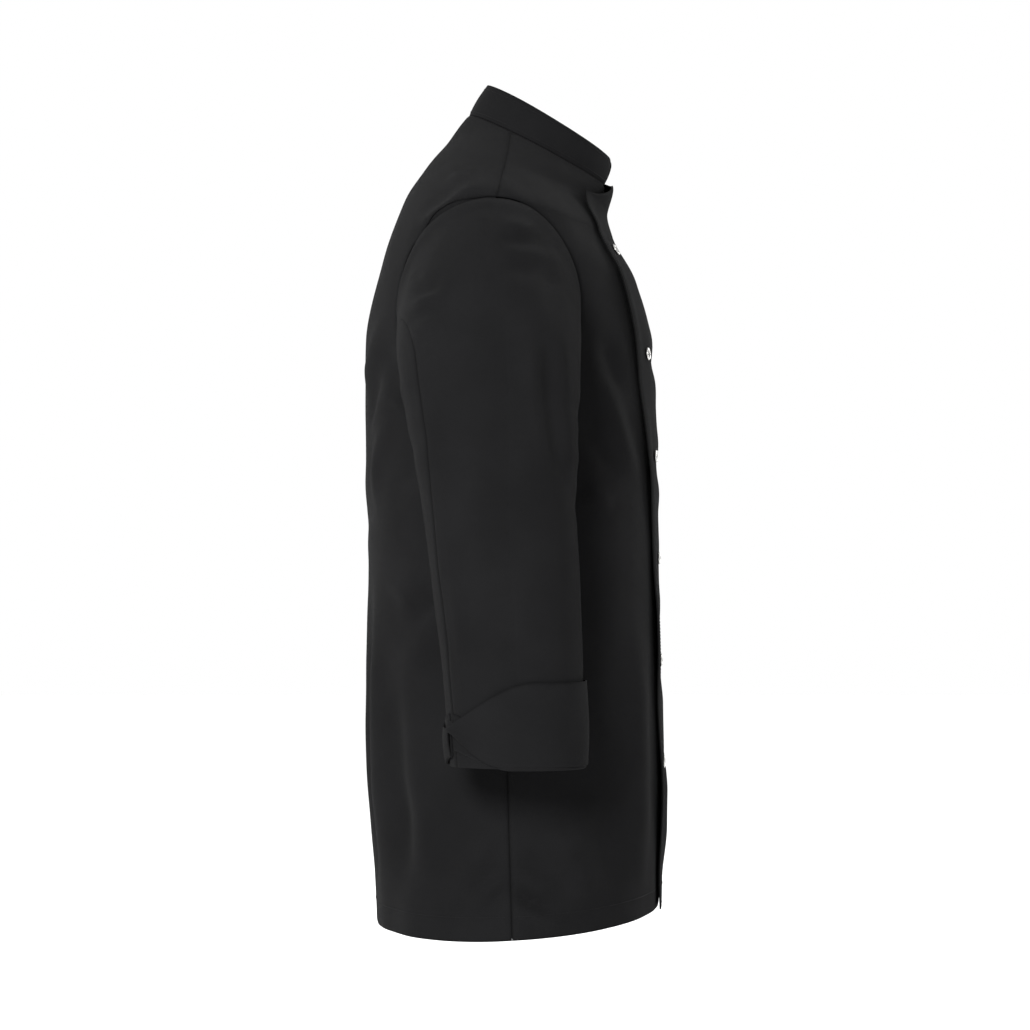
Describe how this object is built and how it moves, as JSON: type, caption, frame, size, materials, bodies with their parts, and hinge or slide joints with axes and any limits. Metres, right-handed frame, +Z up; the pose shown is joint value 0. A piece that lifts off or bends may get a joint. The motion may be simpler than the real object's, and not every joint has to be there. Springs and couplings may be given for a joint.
{
  "type": "chef jacket",
  "caption": "Long black chef jacket in its worn, hollow shape: low stand collar, wide front lap with ring press studs, three-quarter sleeves with vented turn-back cuffs.",
  "frame": {"origin": "middle of the neck seam, where the wearer's neck and shoulders carry the jacket", "axes": "+Z up, -Y towards the front of the wearer, -X towards the wearer's right arm"},
  "size_m": [0.6564, 0.2885, 0.8075],
  "materials": {
    "black_twill": "matte black twill, lightly pressed, with tonal topstitching",
    "stud_metal": "polished nickel-plated brass"
  },
  "bodies": {
    "root": {"back": "black_twill", "front_right": "black_twill", "front_left": "black_twill", "collar": "black_twill", "sleeve_right_top": "black_twill", "sleeve_right_under": "black_twill", "cuff_right": "black_twill", "sleeve_left_top": "black_twill", "sleeve_left_under": "black_twill", "cuff_left": "black_twill", "press_stud_1": "stud_metal", "press_stud_2": "stud_metal", "press_stud_3": "stud_metal", "press_stud_4": "stud_metal", "press_stud_5": "stud_metal", "press_stud_6": "stud_metal"}
  },
  "joints": []
}
